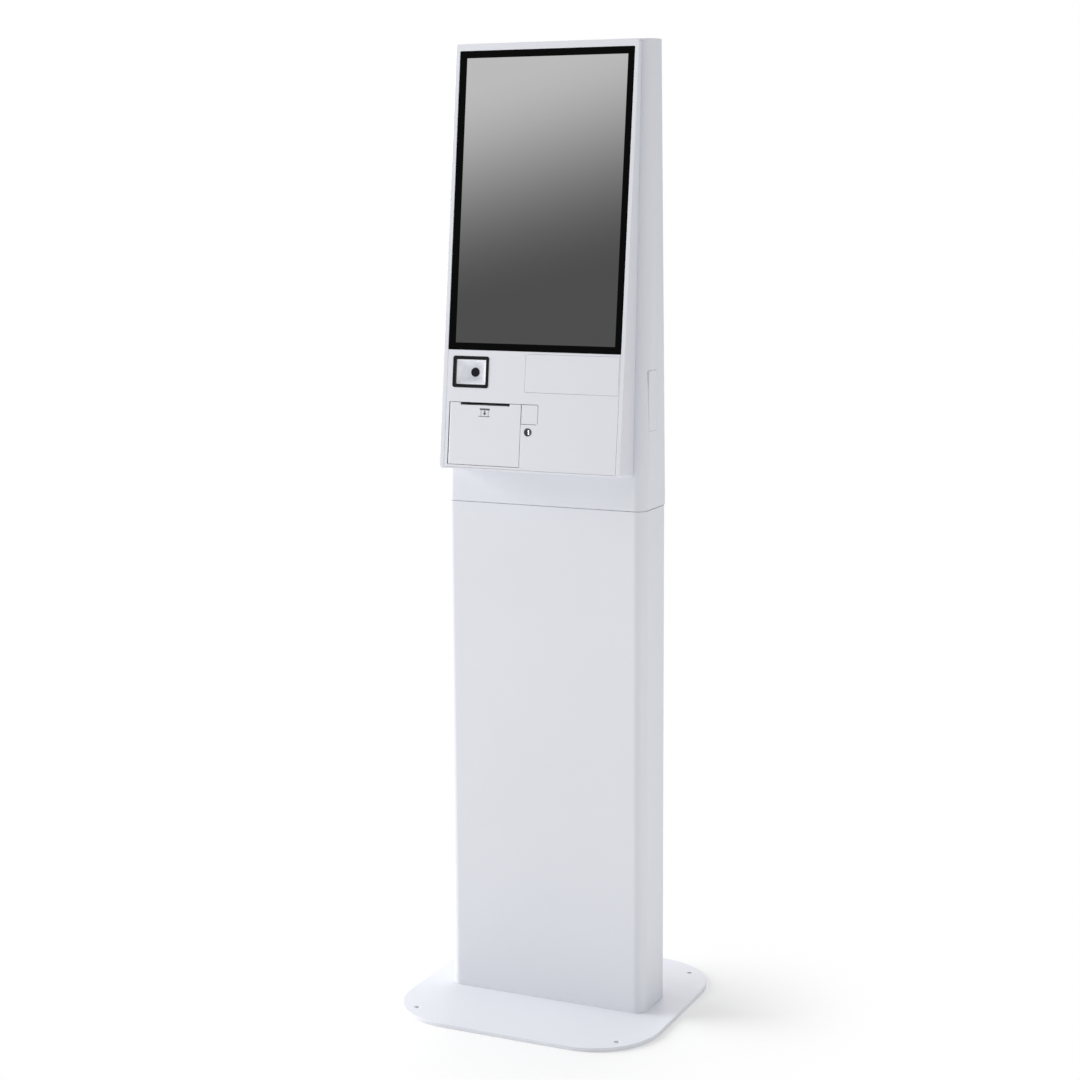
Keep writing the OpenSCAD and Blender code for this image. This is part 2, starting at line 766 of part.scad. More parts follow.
module blank_cover_plate() color(white_paint) on_face() {
    upright(0, panel_t) rounded_from(cover_x, cover_s, cover_w, cover_h, 1.6);
    // backing sheet that laps the panel's back, on the left, above and below
    upright(panel_t + lap_gap, lap_t) rounded_from(cover_x - lap, cover_s - lap, cover_w + 1.2 + lap,
        cover_h + 2 * lap, 2);
    upright(panel_t - eps, lap_gap + 2 * eps) rounded_from(cover_x, cover_s, cover_w, cover_h, 1.6);
    for (x = [cover_x + 14, cover_x + cover_w - 14], s = [cover_s + 12, cover_s + cover_h - 12])
        rod_y(x, panel_t - eps, s, 3, 10);
}

module scanner_bezel() color("#121316") on_face() difference() {
    upright(-0.8, 5) translate([scanner_x, scanner_s]) rounded(scanner_w, scanner_h, 4);
    upright(0, 6) translate([scanner_x, scanner_s]) difference() {
        square([scanner_w + 2, scanner_h + 2], center = true);
        rounded(scanner_w - 6, scanner_h - 6, 1);
    }
    upright(-2, 8) translate([scanner_x, scanner_s]) rounded(window_w, window_h, 1);
}

// Four-sided funnel space that narrows with depth from d0 to d1
module funnel_space(d0, d1, w0, h0, w1, h1) {
    intersection() {
        translate([scanner_x, 0, scanner_s - h0]) linear_extrude(2 * h0)
            polygon([[-w0 / 2, d0], [w0 / 2, d0], [w1 / 2, d1], [-w1 / 2, d1]]);
        translate([0, 0, scanner_s]) crosswise(scanner_x - w0, 2 * w0)
            polygon([[d0, -h0 / 2], [d1, -h1 / 2], [d1, h1 / 2], [d0, h0 / 2]]);
    }
}

module scanner_funnel() color("#e4e6ee") on_face() difference() {
    union() {
        upright(4.3, 1.7) translate([scanner_x, scanner_s]) rounded(window_w + 7, window_h + 7, 2);
        funnel_space(5, 21, window_w + 3, window_h + 3, 31, 27);
    }
    funnel_space(4, 19, window_w, window_h, 27, 23);
    rod_y(scanner_x, 15, scanner_s, lens_r + 0.1, 10);
}

module scanner_lens() color("#0b0c12") on_face() {
    rod_y(scanner_x, lens_d, scanner_s, lens_r, 4);
    rod_y(scanner_x, lens_d + 4 - eps, scanner_s, lens_r - 2, 3);
}

// Camera block behind the lens, with an arm at each side of the funnel
module scanner_module() color("#2a2c30") on_face() {
    block_d = lens_d + 7;
    box([scanner_x - 26, scanner_x + 26], [block_d, 46], [scanner_s - 17, scanner_s + 17]);
    for (side = [-1, 1]) box([scanner_x + side * arm_x - 2, scanner_x + side * arm_x + 2], [6, 44],
        [scanner_s - 12, scanner_s + 12]);
    box([scanner_x - arm_x - 2, scanner_x + arm_x + 2], [44, 47], [scanner_s - 12, scanner_s + 12]);
}

// ---------- printer door, button and lock ----------

module receipt_door() color(white_paint) on_face() difference() {
    union() {
        box([pivot_x, door_right], [0, panel_t], [door_s, door_top]);
        rod_z(pivot_x, pivot_d, door_s, knuckle_r, door_h);
        for (s = [door_s + 1, door_top - slot_h - 4])
            box([pivot_x + 12, door_right - 8], [panel_t - eps, 4], [s, s + 2]);
    }
    box([slot_x - slot_w / 2, slot_x + slot_w / 2], [-1, 5], [door_top - slot_h, door_top + 1]);
    for (s = [door_s - 1, door_top - 8]) rod_z(pivot_x, pivot_d, s, pin_r + run_fit, 9);
}

module door_hinge_pins() color(steel_colour) on_face()
    for (s = [door_s - 3.5, door_top - 7]) {
        rod_z(pivot_x, pivot_d, s, pin_r, 10.5);
        low = s < 60 ? s - 1 : s + 8.5;
        box([pivot_x - 2.5, pivot_x + 3], [panel_t, pivot_d + 2.5], [low, low + 3]);
    }

// Two bent tabs on the door's back: the upper for the pawl, the lower for the lock's cam
module door_strikes() color(steel_colour) on_face() {
    for (tab = [[88, 16, 12], [63, 12, 21]]) {
        box([door_right - 6, door_right - 4.5], [panel_t, tab[2]], [tab[0], tab[0] + tab[1]]);
        box([door_right - 6, door_right - 2.2], [tab[2] - 1.5, tab[2]], [tab[0], tab[0] + tab[1]]);
        box([door_right - 12, door_right - 4.5], [panel_t, panel_t + 1], [tab[0], tab[0] + tab[1]]);
    }
}

// Printed picture: a slot, a ticket coming down out of it, and an arrow
module door_icon() color("#55585e") on_face() upright(-0.2, 0.2) translate([slot_x, 99]) {
    translate([0, 6]) rounded(19.5, 3, 1.4);
    translate([-1, -6.4]) square([21.5, 1], center = true);
    for (x = [-7, 7]) translate([x, -0.9]) square([0.5, 11], center = true);
    polygon([[-1.2, 3.4], [1.2, 3.4], [1.2, -0.4], [3.3, -0.4], [0, -4.4], [-3.3, -0.4], [-1.2, -0.4]]);
}

module release_button() color(white_paint) on_face() {
    upright(0, panel_t) translate([button_x, button_s]) rounded(button_w, button_h, 1);
    upright(panel_t - eps, skirt_d) translate([button_x, button_s]) difference() {
        rounded(button_w - 1, button_h - 1, 1);
        rounded(button_w - 4, button_h - 4, 1);
    }
    rod_y(stem_x, panel_t - eps, stem_s, stem_r, stem_d - stem_tip_l - panel_t);
    rod_y(stem_x, stem_d - stem_tip_l - 1, stem_s, stem_tip_r, stem_tip_l + 1);
}

// Coil spring round the button's stem, drawn as its turns
module button_spring() color(steel_colour) on_face()
    for (k = [0 : spring_turns - 1]) translate([stem_x, panel_t + 1 + k * spring_pitch, stem_s])
        rotate([-90, 0, 0]) rotate_extrude() translate([spring_r, 0]) circle(wire_r);

module button_guide() color(dark_grey) on_face() difference() {
    union() {
        box([pawl_x + 9, 26], [guide_d, guide_d + guide_t], [ear_s[0], ear_s[1] + ear_w]);
        box([22, 26], [panel_t, 31], [ear_s[0], ear_s[1] + ear_w]);
        for (s = ear_s) box([pawl_x - 4, 26], [21, 31], [s, s + ear_w]);
    }
    rod_y(stem_x, guide_d - 4, stem_s, stem_r + run_fit, 10);
    rod_z(pawl_x, pawl_d, 80, pawl_pin_r, 40);
}

module latch_pawl() color(steel_colour) on_face() difference() {
    translate([0, 0, stem_s - pawl_w / 2]) linear_extrude(pawl_w) {
        translate([pawl_x, pawl_d]) circle(4);
        translate([pawl_x, pawl_d - 2]) square([stem_x + 3 - pawl_x, 4]);
        polygon([[pawl_x - 4, pawl_d], [pawl_x - 5.5, 12], [door_right - 0.6, 12], [door_right - 0.6, 9.5],
            [pawl_x - 1.5, 9.5], [pawl_x, pawl_d]]);
    }
    rod_z(pawl_x, pawl_d, 80, pawl_pin_r + run_fit, 40);
}

module pawl_pin() color(zinc_colour) on_face()
    rod_z(pawl_x, pawl_d, ear_s[0] - 1, pawl_pin_r, ear_s[1] + ear_w + 2 - ear_s[0]);

module lock_body() color(zinc_colour) on_face() difference() {
    union() {
        rod_y(lock_x, panel_t, lock_s, lock_r + 2.5, 19);
        translate([lock_x, panel_t, lock_s]) rotate([-90, 0, 0]) cylinder(r = lock_r + 5, h = 4, $fn = 6);
    }
    rod_y(lock_x, 0, lock_s, lock_r + run_fit, 30);
}

module lock_barrel() color(steel_colour) on_face() difference() {
    rod_y(lock_x, -0.6, lock_s, lock_r, 24.6);
    box([lock_x - 0.9, lock_x + 0.9], [-1, 4], [lock_s - 3.5, lock_s + 3.5]);
}

module lock_cam() color(steel_colour) on_face() {
    rod_y(lock_x, 24, lock_s, lock_r + 1, 2);
    box([lock_x - 5, lock_x + 5], [24, 26], [lock_s - 21, lock_s]);
    translate([lock_x, 26 - eps, lock_s]) rotate([-90, 0, 0]) cylinder(r = 4, h = 2.5, $fn = 6);
}

// ---------- ticket printer ----------

function depth_of(y, z) = (y - face_foot_y) * cos(face_tilt) - (z - face_foot_z) * sin(face_tilt);
function height_of(y, z) = (y - face_foot_y) * sin(face_tilt) + (z - face_foot_z) * cos(face_tilt);

// Side plate of the printer, with a leg that stands on the chassis shelf
module printer_side() {
    shelf = printer_shelf_z + 2;
    polygon([[8, 12], [8, 88], [6.5, 90], [6.5, 104], [8, 117], [50, 117], [plate_edge_d, 82],
        [plate_edge_d, height_of(-8, shelf) + 4], [depth_of(-8, shelf), height_of(-8, shelf)],
        [depth_of(-34, shelf), height_of(-34, shelf)], [64, 9]]);
}

module printer_frame() color("#8d9196") on_face() difference() {
    union() {
        for (x = [frame_x, frame_x + frame_w - frame_t]) crosswise(x, frame_t) printer_side();
        box([frame_x, frame_x + frame_w], [plate_edge_d - 2, plate_edge_d], [12, 80]);
        box([frame_x, frame_x + frame_w], [8, 14], [12, 14]);
        // guides under the cutter
        for (x = [frame_x + frame_t - eps, frame_x + frame_w - frame_t - 4 + eps])
            box([x, x + 4], [28, 50], [110.2, 111.7]);
    }
    rod_x(frame_x - 5, platen_d, platen_s, shaft_r + run_fit, frame_w + 10);
    rod_x(frame_x + frame_w - 10, motor_d, motor_s, 4.5, 15);
}

module platen_roller() color("#26282b") on_face() {
    rod_x(slot_x - paper_w / 2 - 3, platen_d, platen_s, platen_r, paper_w + 6);
    rod_x(frame_x - 2, platen_d, platen_s, shaft_r, frame_w + 3 + gear_w);
}

// Spur gear of module 1 with flat-sided teeth
module gear_outline(teeth) {
    r = teeth / 2;
    half_pitch = 90 / teeth;
    half_tooth = half_pitch - gear_backlash / r * 90 / PI;
    circle(r - 1.2);
    for (i = [0 : teeth - 1]) rotate(i * 360 / teeth)
        polygon([[(r - 1.4) * cos(half_tooth * 1.35), -(r - 1.4) * sin(half_tooth * 1.35)],
            [r * cos(half_tooth), -r * sin(half_tooth)],
            [r + 0.8, -0.3], [r + 0.8, 0.3],
            [r * cos(half_tooth), r * sin(half_tooth)],
            [(r - 1.4) * cos(half_tooth * 1.35), (r - 1.4) * sin(half_tooth * 1.35)]]);
}

module platen_gear() color("#e9e6da") on_face() difference() {
    crosswise(gear_x, gear_w) translate([platen_d, platen_s]) rotate(motor_angle)
        gear_outline(gear_teeth);
    rod_x(gear_x - 1, platen_d, platen_s, shaft_r, gear_w + 2);
}

module feed_motor() color("#5b5f64") on_face() {
    rod_x(frame_x + frame_w - frame_t - 34, motor_d, motor_s, motor_r, 34);
    rod_x(frame_x + frame_w - frame_t - eps, motor_d, motor_s, 4.4, frame_t);
}

module motor_pinion() color("#c9b26a") on_face() {
    crosswise(gear_x, gear_w) translate([motor_d, motor_s])
        rotate(motor_angle + 180 + 180 / pinion_teeth) gear_outline(pinion_teeth);
}

module thermal_head() color("#3c4046") on_face() {
    box([frame_x + frame_t, frame_x + frame_w - frame_t], [24.2, 27], [93, 109]);
    for (k = [0 : 4]) box([slot_x - 40, slot_x + 40], [27 - eps, 33], [93.5 + k * 3.3, 95 + k * 3.3]);
}

// Toothed edge just inside the slot
module tear_bar() color("#1c1e21") on_face() translate([0, 0, 107]) linear_extrude(1.6)
    polygon(concat(
        [for (k = [0 : 2 * tear_teeth])
            [tear_x + k * tear_w / (2 * tear_teeth), tear_d + (k % 2) * tear_tooth]],
        [[tear_x + tear_w, 22], [tear_x, 22]]));

module cutter_blade() color("#d5d8dc") on_face()
    box([frame_x + frame_t + 0.4, frame_x + frame_w - frame_t - 0.4], [30, 48], [112, 113.4]);

module paper_spindle() color("#d9dadc") on_face()
    rod_x(frame_x + frame_t, roll_d, roll_s, spindle_r, frame_w - 2 * frame_t);

module paper_roll() color("#f7f6f1") on_face() difference() {
    rod_x(slot_x - paper_w / 2, roll_d, roll_s, roll_r, paper_w);
    rod_x(slot_x - paper_w / 2 - 1, roll_d, roll_s, spindle_r + run_fit, paper_w + 2);
}

base_plate();
column_foot_bracket();
column_foot_bolts();
column_shell();
column_top_plate();
column_rear_door();
rear_door_hinge_pins();
rear_door_lock();
column_shelf();
power_supply();
power_inlet();
power_rocker();
head_joint_bolts();
head_base_plate();
head_shell();
head_rear_cover();
rear_cover_screws();
head_chassis();
computer_box();
fan_frame();
fan_rotor();
side_port_cover();
io_board();
front_housing();
display_glass();
lcd_panel();
display_bracket();
lower_front_panel();
blank_cover_plate();
scanner_bezel();
scanner_funnel();
scanner_lens();
scanner_module();
receipt_door();
door_hinge_pins();
door_strikes();
door_icon();
release_button();
button_spring();
button_guide();
latch_pawl();
pawl_pin();
lock_body();
lock_barrel();
lock_cam();
printer_frame();
platen_roller();
platen_gear();
feed_motor();
motor_pinion();
thermal_head();
tear_bar();
cutter_blade();
paper_spindle();
paper_roll();
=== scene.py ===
"""Looks of the ticket vending machine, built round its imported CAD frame. Metres, +Z up, customer on -Y."""
import json
import math

import bmesh
import bpy
from mathutils import Matrix, Vector


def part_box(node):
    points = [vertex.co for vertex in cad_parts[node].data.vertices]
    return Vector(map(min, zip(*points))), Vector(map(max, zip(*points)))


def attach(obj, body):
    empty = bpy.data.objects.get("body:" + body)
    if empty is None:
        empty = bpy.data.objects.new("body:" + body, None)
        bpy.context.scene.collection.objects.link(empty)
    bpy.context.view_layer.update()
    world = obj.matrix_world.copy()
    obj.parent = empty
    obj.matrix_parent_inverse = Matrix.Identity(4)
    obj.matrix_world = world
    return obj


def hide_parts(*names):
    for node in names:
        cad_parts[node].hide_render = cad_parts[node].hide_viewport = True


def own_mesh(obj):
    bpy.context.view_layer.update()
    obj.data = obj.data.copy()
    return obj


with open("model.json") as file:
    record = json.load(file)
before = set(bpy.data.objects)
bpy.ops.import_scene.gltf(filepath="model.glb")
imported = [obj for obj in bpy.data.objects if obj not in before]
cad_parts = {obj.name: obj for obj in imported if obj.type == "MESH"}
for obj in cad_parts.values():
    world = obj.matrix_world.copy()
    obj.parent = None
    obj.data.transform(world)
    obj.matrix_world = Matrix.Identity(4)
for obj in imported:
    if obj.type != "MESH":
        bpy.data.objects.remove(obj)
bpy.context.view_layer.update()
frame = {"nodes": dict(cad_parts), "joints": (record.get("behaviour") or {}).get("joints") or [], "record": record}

MM = 0.001

# ---------- places taken from the frame ----------

joints = {joint["name"]: joint for joint in frame["joints"]}
INWARD = Vector(joints["button_press"]["axis"]).normalized()
ACROSS = Vector((1, 0, 0))
UP_FACE = ACROSS.cross(INWARD)
FACE_FOOT = Vector((0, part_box("front_housing")[0].y, 0.975))
FACE_LEAN = math.atan2(UP_FACE.y, UP_FACE.z)


def on_face(x, depth, height):
    """A point from millimetres across, behind and up the leaning front face."""
    return FACE_FOOT + (ACROSS * x + INWARD * depth + UP_FACE * height) * MM


# ---------- shader helpers ----------


def add_node(tree, kind, inputs=None, **settings):
    """A shader node. An input given as a socket is linked, any other is set."""
    made = tree.nodes.new("ShaderNode" + kind)
    for name, value in settings.items():
        setattr(made, name, value)
    for name, value in (inputs or {}).items():
        if isinstance(value, bpy.types.NodeSocket):
            tree.links.new(value, made.inputs[name])
        else:
            made.inputs[name].default_value = value
    return made


def new_surface(name, color, roughness, metallic=0.0, **constants):
    """A material with one Principled shader, and its tree."""
    material = bpy.data.materials.new(name)
    material.use_nodes = True
    tree = material.node_tree
    shader = tree.nodes["Principled BSDF"]
    shader.inputs["Base Color"].default_value = (*color, 1)
    shader.inputs["Roughness"].default_value = roughness
    shader.inputs["Metallic"].default_value = metallic
    for socket, value in constants.items():
        shader.inputs[socket.replace("_", " ")].default_value = value
    return material, tree, shader


def place(tree):
    """Coordinates in metres in the row frame."""
    return tree.nodes.new("ShaderNodeTexCoord").outputs["Object"]


def stretched(tree, scale):
    """Coordinates scaled by a different amount along each axis."""
    return add_node(tree, "Mapping", {"Vector": place(tree), "Scale": scale}).outputs[0]


def noise(tree, vector, scale, detail=2.0, roughness=0.5):
    found = add_node(tree, "TexNoise", {"Vector": vector, "Scale": scale, "Detail": detail,
                                        "Roughness": roughness})
    return found.outputs["Fac"]


def spread(tree, value, low, high, start=0.3, end=0.7):
    """value from start..end spread over low..high."""
    return add_node(tree, "MapRange", {"Value": value, "From Min": start, "From Max": end,
                                       "To Min": low, "To Max": high}).outputs[0]


def vary_color(tree, shader, value, color, amount):
    """Lets value, from 0 to 1, lighten or darken the base colour by amount."""
    dark = [c * (1 - amount) for c in color]
    light = [min(1.0, c * (1 + amount)) for c in color]
    mix = add_node(tree, "Mix", {"Factor": value, 6: (*dark, 1), 7: (*light, 1)}, data_type="RGBA")
    tree.links.new(mix.outputs[2], shader.inputs["Base Color"])


def bump(tree, shader, height, depth, strength=1.0, after=None):
    """Bump of a real depth in metres, on top of another bump if one is given."""
    inputs = {"Height": height, "Distance": depth, "Strength": strength}
    if after:
        inputs["Normal"] = after
    made = add_node(tree, "Bump", inputs).outputs[0]
    tree.links.new(made, shader.inputs["Normal"])
    return made


# ---------- materials ----------


def powder_coat(name, color, roughness):
    """Sprayed and baked coat: a fine orange peel, and sheen that drifts a little over a sheet."""
    material, tree, shader = new_surface(name, color, roughness, Specular_IOR_Level=0.42)
    at = place(tree)
    drift = noise(tree, at, 3.5, 3)
    peel = noise(tree, at, 620, 2, 0.45)
    grain = noise(tree, at, 2600, 1)
    vary_color(tree, shader, spread(tree, drift, 0, 1), color, 0.012)
    tree.links.new(spread(tree, noise(tree, at, 38, 4), roughness - 0.05, roughness + 0.05),
                   shader.inputs["Roughness"])
    first = bump(tree, shader, peel, 0.00006, 0.5)
    bump(tree, shader, grain, 0.00002, 0.5, first)
    return material


def zinc_sheet(name, color):
    """Galvanised sheet with its spangle."""
    material, tree, shader = new_surface(name, color, 0.42, 1.0)
    spangle = add_node(tree, "TexVoronoi", {"Vector": place(tree), "Scale": 110.0})
    flake = add_node(tree, "SeparateColor", {"Color": spangle.outputs["Color"]}).outputs["Red"]
    vary_color(tree, shader, flake, color, 0.13)
    tree.links.new(spread(tree, flake, 0.34, 0.5, 0, 1), shader.inputs["Roughness"])
    bump(tree, shader, noise(tree, place(tree), 700), 0.00003, 0.4)
    return material


def drawn_steel(name, color, roughness, grain_axis, metallic=1.0):
    """Metal with a fine grain along one axis, left by rolling, turning or grinding."""
    material, tree, shader = new_surface(name, color, roughness, metallic)
    across, along = 1400, 60
    scale = [along if axis == grain_axis else across for axis in range(3)]
    grain = noise(tree, stretched(tree, scale), 1.0, 3, 0.6)
    vary_color(tree, shader, spread(tree, grain, 0, 1), color, 0.07)
    tree.links.new(spread(tree, grain, roughness - 0.09, roughness + 0.09), shader.inputs["Roughness"])
    bump(tree, shader, grain, 0.00002, 0.5)
    return material


def moulded(name, color, roughness, texture_scale, texture_depth, specular=0.5):
    """Moulded plastic: spark-eroded texture and slow variation in its sheen."""
    material, tree, shader = new_surface(name, color, roughness, Specular_IOR_Level=specular)
    at = place(tree)
    texture = noise(tree, at, texture_scale, 2)
    vary_color(tree, shader, spread(tree, noise(tree, at, 60, 3), 0, 1), color, 0.05)
    tree.links.new(spread(tree, texture, roughness - 0.06, roughness + 0.06), shader.inputs["Roughness"])
    bump(tree, shader, texture, texture_depth, 0.6)
    return material


SCREEN_W, SCREEN_H = 298.9, 486.5
GLASS_FOOT, GLASS_H = 206.5, 511
SCREEN_MIDDLE = GLASS_FOOT + GLASS_H / 2
BORDER_BLACK = 0.0035
# painted reflection: the screen area emits a grey, light at the top and dark at the foot, in place of a reflection
# in its glass
REFLECTION_TOP_GREY, REFLECTION_FOOT_GREY, REFLECTION_GAMMA = 0.727, 0.302, 2.2
SCREEN_SHIFT = 1.3
REFLECTION_FADE_START, REFLECTION_FADE_END, REFLECTION_FADE_SLANT = 0.08, 0.9, 0.155


def display_with_painted_reflection(name):
    """Anti-glare glass over a black printed border; the screen area glows with a painted reflection, a grey that
    fades down the screen.
    """
    material, tree, shader = new_surface(name, (BORDER_BLACK,) * 3, 0.16, Specular_IOR_Level=0.03)
    face = add_node(tree, "Mapping", {"Vector": place(tree), "Location": FACE_FOOT,
                                      "Rotation": (-FACE_LEAN, 0, 0)}, vector_type="TEXTURE")
    across, _, height = add_node(tree, "SeparateXYZ", {"Vector": face.outputs[0]}).outputs

    def inside(value, middle, size):
        offset = add_node(tree, "Math", {0: value, 1: middle * MM}, operation="SUBTRACT").outputs[0]
        distance = add_node(tree, "Math", {0: offset}, operation="ABSOLUTE").outputs[0]
        return add_node(tree, "Math", {0: distance, 1: size / 2 * MM}, operation="LESS_THAN").outputs[0]

    inside_width = inside(across, SCREEN_SHIFT, SCREEN_W)
    inside_height = inside(height, SCREEN_MIDDLE, SCREEN_H)
    reflection_area = add_node(tree, "Math", {0: inside_width, 1: inside_height}, operation="MULTIPLY").outputs[0]
    # 0 at the top left corner and 1 at the foot, a little further on towards the right
    top, foot = SCREEN_MIDDLE + SCREEN_H / 2, SCREEN_MIDDLE - SCREEN_H / 2
    down = spread(tree, height, 0, 1, top * MM, foot * MM)
    slant = spread(tree, across, 0, REFLECTION_FADE_SLANT, -SCREEN_W / 2 * MM, SCREEN_W / 2 * MM)
    fall = add_node(tree, "Math", {0: down, 1: slant}, operation="ADD").outputs[0]
    reflection_fade = add_node(tree, "MapRange", {"Value": fall, "From Min": REFLECTION_FADE_START, "From Max": REFLECTION_FADE_END,
                                       "To Min": REFLECTION_TOP_GREY, "To Max": REFLECTION_FOOT_GREY},
                    interpolation_type="SMOOTHSTEP").outputs[0]
    grey = add_node(tree, "Math", {0: reflection_fade, 1: REFLECTION_GAMMA}, operation="POWER").outputs[0]
    painted_reflection = add_node(tree, "Math", {0: grey, 1: reflection_area}, operation="MULTIPLY").outputs[0]
    # painted reflection: the fading grey glows from the screen area instead of being reflected there
    tree.links.new(painted_reflection, shader.inputs["Emission Color"])
    shader.inputs["Emission Strength"].default_value = 1.0
    grain = noise(tree, place(tree), 1800, 1)
    bump(tree, shader, grain, 0.00001, 0.25)
    return material


def coated_glass(name, color):
    """Dark lens glass with a faint coating tint."""
    material, tree, shader = new_surface(name, color, 0.06, Specular_IOR_Level=0.6, Coat_Weight=0.5,
                                         Coat_Roughness=0.03)
    shader.inputs["Coat Tint"].default_value = (0.72, 0.7, 1, 1)
    vary_color(tree, shader, noise(tree, place(tree), 90), color, 0.3)
    return material


def ground_rubber(name, color):
    material, tree, shader = new_surface(name, color, 0.72, Specular_IOR_Level=0.35)
    grain = noise(tree, stretched(tree, (300, 1600, 1600)), 1.0, 2)
    vary_color(tree, shader, spread(tree, grain, 0, 1), color, 0.2)
    bump(tree, shader, grain, 0.00003, 0.7)
    return material


def wound_paper(name, color, axis_at):
    """Thermal paper: smooth on the roll's skin, and fine rings of layers on its ends."""
    material, tree, shader = new_surface(name, color, 0.62, Specular_IOR_Level=0.3)
    centred = add_node(tree, "Mapping", {"Vector": place(tree), "Location": [-c for c in axis_at]})
    rings = add_node(tree, "TexWave", {"Vector": centred.outputs[0], "Scale": 300.0, "Distortion": 0.6,
                                       "Detail": 1.0}, wave_type="RINGS", rings_direction="X")
    vary_color(tree, shader, rings.outputs["Fac"], color, 0.035)
    bump(tree, shader, rings.outputs["Fac"], 0.00003, 0.6)
    return material


def solder_mask(name, color):
    """Green board with lighter tracks under the mask."""
    material, tree, shader = new_surface(name, color, 0.35, Specular_IOR_Level=0.5)
    tracks = add_node(tree, "TexBrick", {"Vector": stretched(tree, (0, 260, 260)), "Scale": 1.0,
                                         "Mortar Size": 0.16, "Color1": (*color, 1),
                                         "Color2": (color[0], color[1] * 0.8, color[2], 1),
                                         "Mortar": (color[0] * 2, color[1] * 1.9, color[2] * 1.7, 1)})
    tree.links.new(tracks.outputs["Color"], shader.inputs["Base Color"])
    bump(tree, shader, tracks.outputs["Fac"], 0.00004, 0.4)
    return material


def center_of(node):
    low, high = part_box(node)
    return (low + high) / 2


finishes = {
    "white_paint": powder_coat("white_powder_coat", (0.76, 0.775, 0.825), 0.44),
    "zinc_steel": zinc_sheet("zinc_sheet", (0.66, 0.68, 0.69)),
    "bright_steel": drawn_steel("bright_steel", (0.74, 0.75, 0.77), 0.26, 2),
    "grey_steel": drawn_steel("rolled_steel", (0.46, 0.47, 0.49), 0.42, 0),
    "dark_metal": drawn_steel("dark_anodised", (0.055, 0.058, 0.066), 0.4, 2, 0.6),
    "black_plastic": moulded("black_plastic", (0.02, 0.02, 0.022), 0.5, 1500, 0.00004),
    "gloss_black": moulded("satin_black_frame", (0.006, 0.0062, 0.0075), 0.3, 2200, 0.00001, 0.3),
    "light_plastic": moulded("light_plastic", (0.8, 0.815, 0.86), 0.4, 1900, 0.00002),
    "display_glass": display_with_painted_reflection("display_with_painted_reflection"),
    "lens_glass": coated_glass("lens_glass", (0.004, 0.004, 0.008)),
    "platen_rubber": ground_rubber("platen_rubber", (0.03, 0.03, 0.032)),
    "gear_plastic": moulded("natural_acetal", (0.74, 0.72, 0.62), 0.38, 900, 0.00002),
    "brass": drawn_steel("turned_brass", (0.78, 0.6, 0.27), 0.24, 1),
    "paper": wound_paper("thermal_paper", (0.86, 0.855, 0.82), center_of("paper_roll")),
    "printed_grey": moulded("printed_ink", (0.1, 0.105, 0.12), 0.55, 1200, 0.00001),
    "circuit_board": solder_mask("solder_mask", (0.012, 0.11, 0.05)),
}

# painted light: the funnel's light plastic glows faintly, which makes it brighter than the lamps alone light it
funnel_glow_shader = finishes["light_plastic"].node_tree.nodes["Principled BSDF"]
funnel_glow_shader.inputs["Emission Color"].default_value = (0.93, 0.95, 1, 1)
funnel_glow_shader.inputs["Emission Strength"].default_value = 0.16

slot_of = {row["node"]: row["material_slot"] for row in frame["record"]["subparts"]}


# ---------- the CAD nodes: softened edges and finishes ----------

EDGE_MM = {
    "base_plate": 0.9, "front_housing": 0.6, "head_shell": 0.45, "column_shell": 0.35,
    "column_rear_door": 0.5, "head_rear_cover": 0.5, "side_port_cover": 0.5, "display_glass": 0.5,
    "lower_front_panel": 0.35, "receipt_door": 0.35, "blank_cover_plate": 0.35, "scanner_bezel": 0.35,
    "release_button": 0.4, "power_inlet": 0.6, "power_rocker": 0.5, "power_supply": 0.4,
    "computer_box": 0.3, "door_icon": 0.03,
}
PLAIN_EDGE_MM = 0.2
SHARP_MITRES = ("rear_door_lock", "io_board")
SHARP_ANGLE = math.radians(28)
FLAT_ANGLE = math.radians(0.3)
WELD_GAP = 2e-6


def soften(piece, width, mitre):
    """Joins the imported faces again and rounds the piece's sharp edges with real geometry."""
    weld = piece.modifiers.new("weld", "WELD")
    weld.merge_threshold = WELD_GAP
    flat = piece.modifiers.new("join_flat_faces", "DECIMATE")
    flat.decimate_type = "DISSOLVE"
    flat.angle_limit = FLAT_ANGLE
    edge = piece.modifiers.new("round_edges", "BEVEL")
    edge.width = width
    edge.segments = 2
    edge.limit_method = "ANGLE"
    edge.angle_limit = SHARP_ANGLE
    edge.use_clamp_overlap = False
    edge.miter_outer = mitre
    even = piece.modifiers.new("even_shading", "WEIGHTED_NORMAL")
    even.weight = 60


for name, cad_node in frame["nodes"].items():
    cad_node.data.materials.clear()
    cad_node.data.materials.append(finishes[slot_of[name]])
    corner = "MITER_SHARP" if name in SHARP_MITRES else "MITER_ARC"
    soften(cad_node, EDGE_MM.get(name, PLAIN_EDGE_MM) * MM, corner)


# ---------- pieces made here ----------


def mesh_object(name, mesh):
    made = bpy.data.objects.new(name, mesh)
    bpy.context.scene.collection.objects.link(made)
    return made


def new_piece(name, points, faces, slot, body):
    """A mesh piece in the row frame that rides on a body, with the finish of its slot."""
    mesh = bpy.data.meshes.new(name)
    mesh.from_pydata([tuple(p) for p in points], [], faces)
    mesh.update()
    mesh.materials.append(finishes[slot])
    for face in mesh.polygons:
        face.use_smooth = True
    made = mesh_object(name, mesh)
    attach(made, body)
    return made


